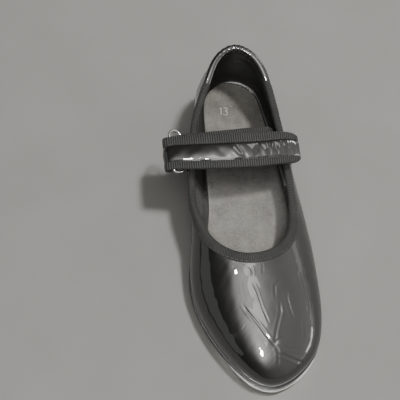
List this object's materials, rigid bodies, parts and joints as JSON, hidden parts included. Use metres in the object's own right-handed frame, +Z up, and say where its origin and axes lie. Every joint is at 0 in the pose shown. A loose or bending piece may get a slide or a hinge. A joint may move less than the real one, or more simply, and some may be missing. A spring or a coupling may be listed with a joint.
{
  "type": "tap shoe",
  "caption": "Child's left tap shoe in black patent with ribbon-bound topline, fold-back hook-and-loop strap through a wire ring, and metal toe and heel taps.",
  "frame": {"origin": "on the floor, under the middle of the bounding box", "axes": "+Y towards the heel along the shoe's length (the toe points to -Y), +X to the lateral (outer) side, +Z up; the taps stand on Z = 0"},
  "size_m": [0.0876, 0.204, 0.06],
  "materials": {
    "patent": "mirror-gloss black patent synthetic",
    "grosgrain": "matt dark ribbed ribbon",
    "vamp_textile": "matt dark textile with a small diamond pattern",
    "quarter_lining": "satin black synthetic",
    "fibre_board": "matt leatherboard",
    "sock": "satin dark grey synthetic with a pale size number",
    "felt": "matt felt",
    "sole_rubber": "satin black",
    "tap_aluminium": "tumbled bright",
    "steel": "plain steel",
    "nickel": "polished nickel plate",
    "stiffener": "matt",
    "hook": "hook tape",
    "loop": "loop tape"
  },
  "bodies": {
    "shoe": {"outsole": "sole_rubber", "heel_block": "sole_rubber", "toe_tap": "tap_aluminium", "heel_tap": "tap_aluminium", "toe_tap_screw_1": "steel", "toe_tap_screw_2": "steel", "toe_tap_screw_3": "steel", "heel_tap_screw_1": "steel", "heel_tap_screw_2": "steel", "heel_tap_screw_3": "steel", "insole_board": "fibre_board", "sock": "sock", "bottom_filler": "felt", "shank": "steel", "vamp": "patent", "quarter_medial": "patent", "quarter_lateral": "patent", "vamp_lining": "vamp_textile", "quarter_lining": "quarter_lining", "heel_counter": "stiffener", "toe_puff": "stiffener", "topline_binding": "grosgrain", "heel_collar": "patent", "strap_base": "quarter_lining", "strap_base_tape_front": "grosgrain", "strap_base_tape_rear": "grosgrain", "loop_pad": "loop", "strap_fold": "patent", "ring_tab": "patent"},
    "ring": {"ring": "nickel"},
    "flap": {"strap_flap": "patent", "strap_flap_tape_front": "grosgrain", "strap_flap_tape_rear": "grosgrain", "hook_pad": "hook"}
  },
  "joints": [
    {"name": "flap_hinge", "type": "hinge", "parent": "shoe", "child": "flap", "pos_m": [-0.04293, 0.03417, 0.0395], "axis": [0, -1, 0], "range_deg": [0, 150], "deforming": ["strap_fold"]},
    {"name": "ring_swing", "type": "hinge", "parent": "shoe", "child": "ring", "pos_m": [-0.03223, 0.03787, 0.0384], "axis": [0, 1, 0], "range_deg": [-5, 5]}
  ]
}
